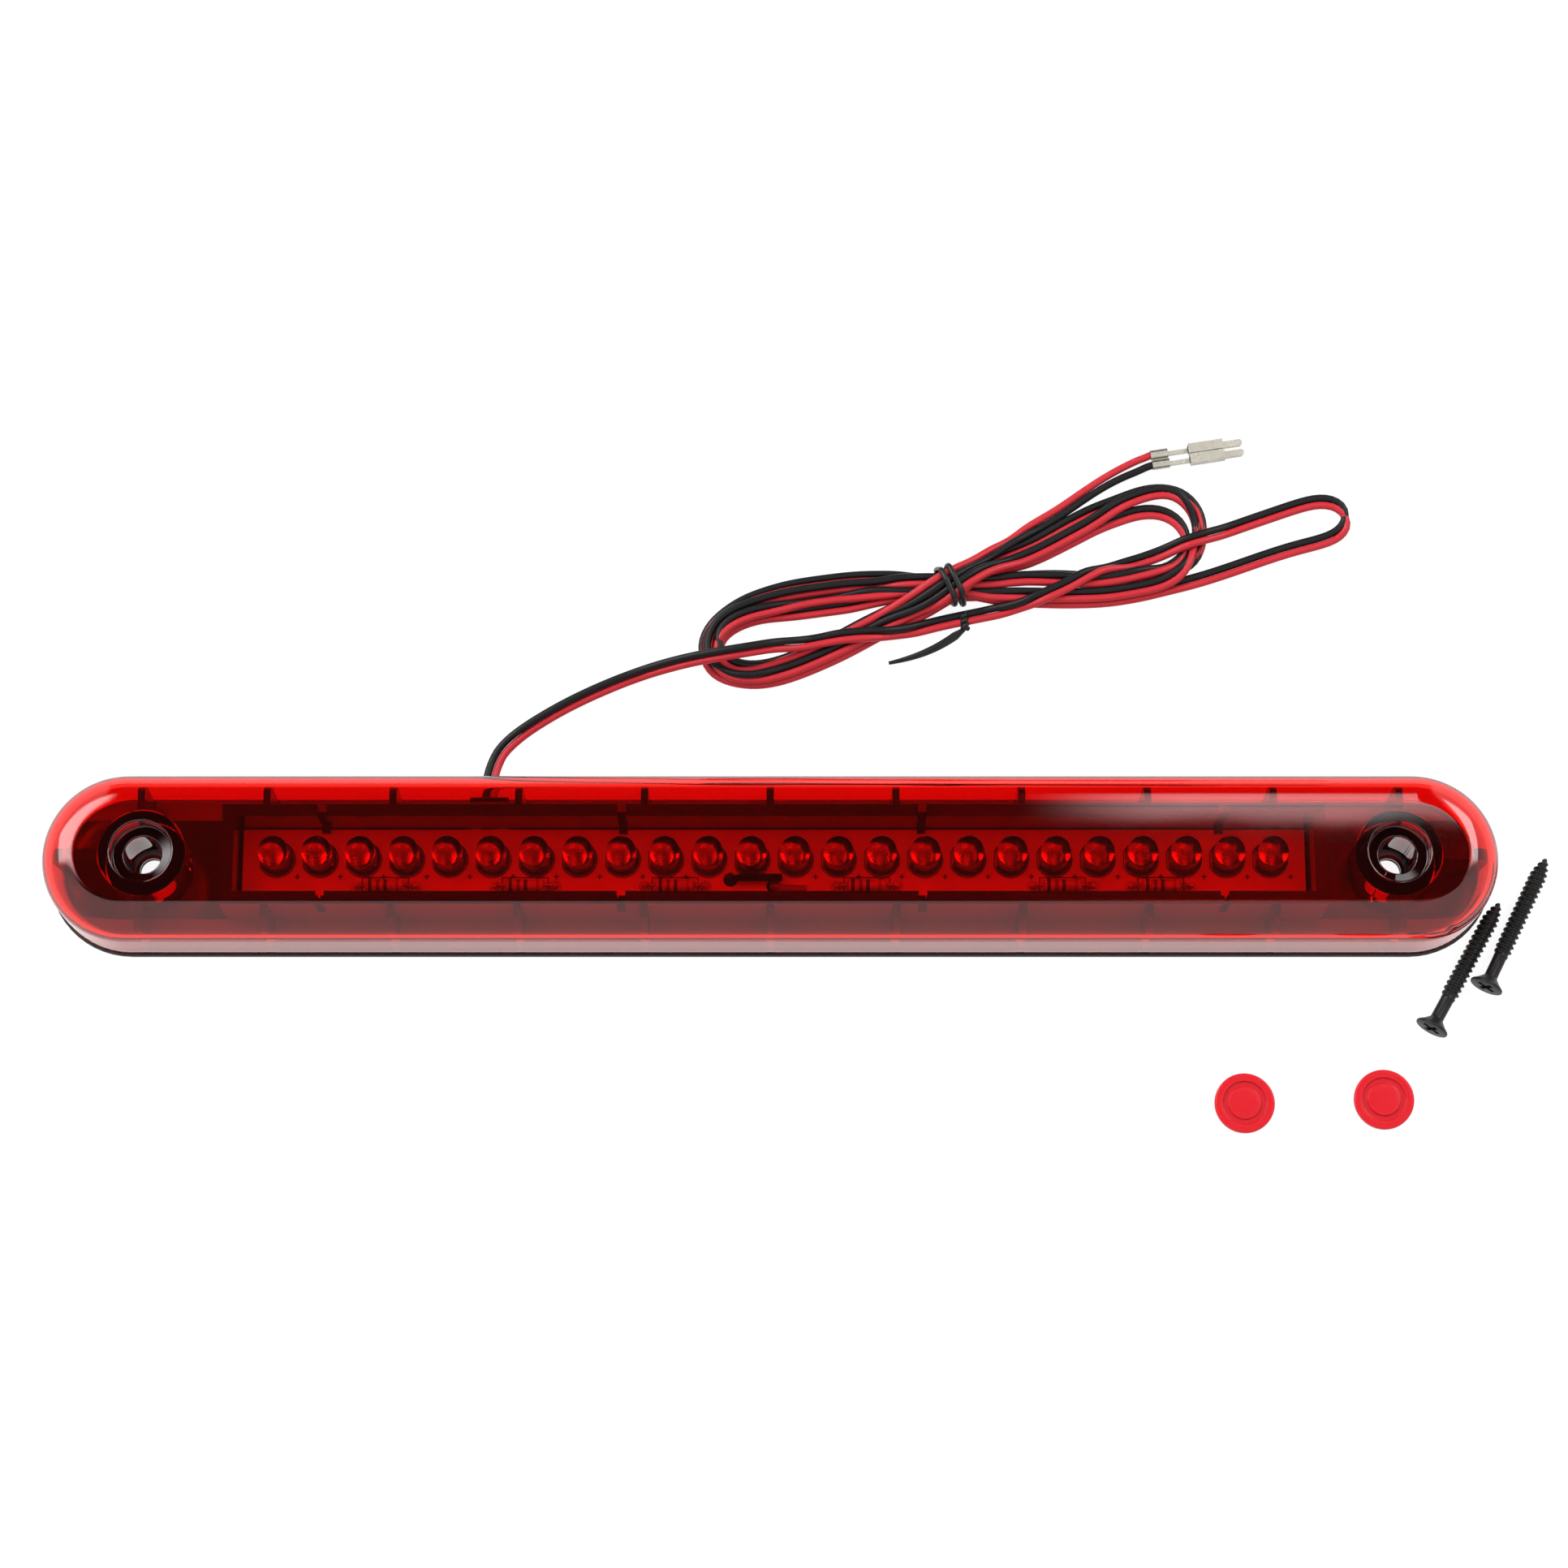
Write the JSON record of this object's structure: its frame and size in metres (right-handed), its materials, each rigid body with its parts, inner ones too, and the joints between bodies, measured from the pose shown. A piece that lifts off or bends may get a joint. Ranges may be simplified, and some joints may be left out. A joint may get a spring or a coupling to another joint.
{
  "type": "third brake light",
  "caption": "Slim round-ended red brake light with lamps on a board, two fixing screws and caps, and a tied twin lead.",
  "frame": {"origin": "centre of the flat mounting face, the underside of the gasket, midway between the two screw holes", "axes": "+X along the lamp, +Y across it towards the side where the lead leaves, +Z out through the lens"},
  "size_m": [0.2504, 0.1208, 0.016],
  "materials": {
    "red_lens": "clear red moulded plastic, polished",
    "black_plastic": "black moulded plastic",
    "foam": "closed-cell foam sheet",
    "sealant": "milky sealing bead",
    "board": "white solder mask",
    "led_epoxy": "clear cast epoxy",
    "resistor_coating": "beige lacquer with colour bands",
    "tinned_metal": "tin plated",
    "solder": "shiny solder",
    "black_rubber": "soft black rubber",
    "red_insulation": "soft red insulation, satin",
    "black_insulation": "soft black insulation, satin",
    "tie_plastic": "plastic-coated twist tie",
    "black_steel": "black phosphate",
    "cap_plastic": "translucent red plastic"
  },
  "bodies": {
    "lamp": {"lens": "red_lens", "base": "black_plastic", "gasket": "foam", "sealing_bead": "sealant", "circuit_board": "board", "led_01": "led_epoxy", "led_02": "led_epoxy", "led_03": "led_epoxy", "led_04": "led_epoxy", "led_05": "led_epoxy", "led_06": "led_epoxy", "led_07": "led_epoxy", "led_08": "led_epoxy", "led_09": "led_epoxy", "led_10": "led_epoxy", "led_11": "led_epoxy", "led_12": "led_epoxy", "led_13": "led_epoxy", "led_14": "led_epoxy", "led_15": "led_epoxy", "led_16": "led_epoxy", "led_17": "led_epoxy", "led_18": "led_epoxy", "led_19": "led_epoxy", "led_20": "led_epoxy", "led_21": "led_epoxy", "led_22": "led_epoxy", "led_23": "led_epoxy", "led_24": "led_epoxy", "resistor_1": "resistor_coating", "resistor_2": "resistor_coating", "resistor_3": "resistor_coating", "resistor_4": "resistor_coating", "resistor_5": "resistor_coating", "resistor_6": "resistor_coating", "led_lead_frames": "tinned_metal", "resistor_leads": "tinned_metal", "solder_joints": "solder", "cable_grommet": "black_rubber", "red_inner_lead": "red_insulation", "black_inner_lead": "black_insulation", "red_wire": "red_insulation", "black_wire": "black_insulation", "wire_hank": "black_insulation", "red_wire_tail": "red_insulation", "black_wire_tail": "black_insulation", "wire_tie": "tie_plastic", "red_terminal": "tinned_metal", "black_terminal": "tinned_metal"},
    "screw_1_body": {"screw_1": "black_steel"},
    "screw_2_body": {"screw_2": "black_steel"},
    "cap_1_body": {"cap_1": "cap_plastic"},
    "cap_2_body": {"cap_2": "cap_plastic"}
  },
  "joints": [
    {"name": "screw_1_lift", "type": "slide", "parent": "lamp", "child": "screw_1_body", "axis": [0, 0, 1], "range_m": [0, 0.04]},
    {"name": "screw_2_lift", "type": "slide", "parent": "lamp", "child": "screw_2_body", "axis": [0, 0, 1], "range_m": [0, 0.04]},
    {"name": "cap_1_lift", "type": "slide", "parent": "lamp", "child": "cap_1_body", "axis": [0, 0, 1], "range_m": [0, 0.04]},
    {"name": "cap_2_lift", "type": "slide", "parent": "lamp", "child": "cap_2_body", "axis": [0, 0, 1], "range_m": [0, 0.04]}
  ]
}
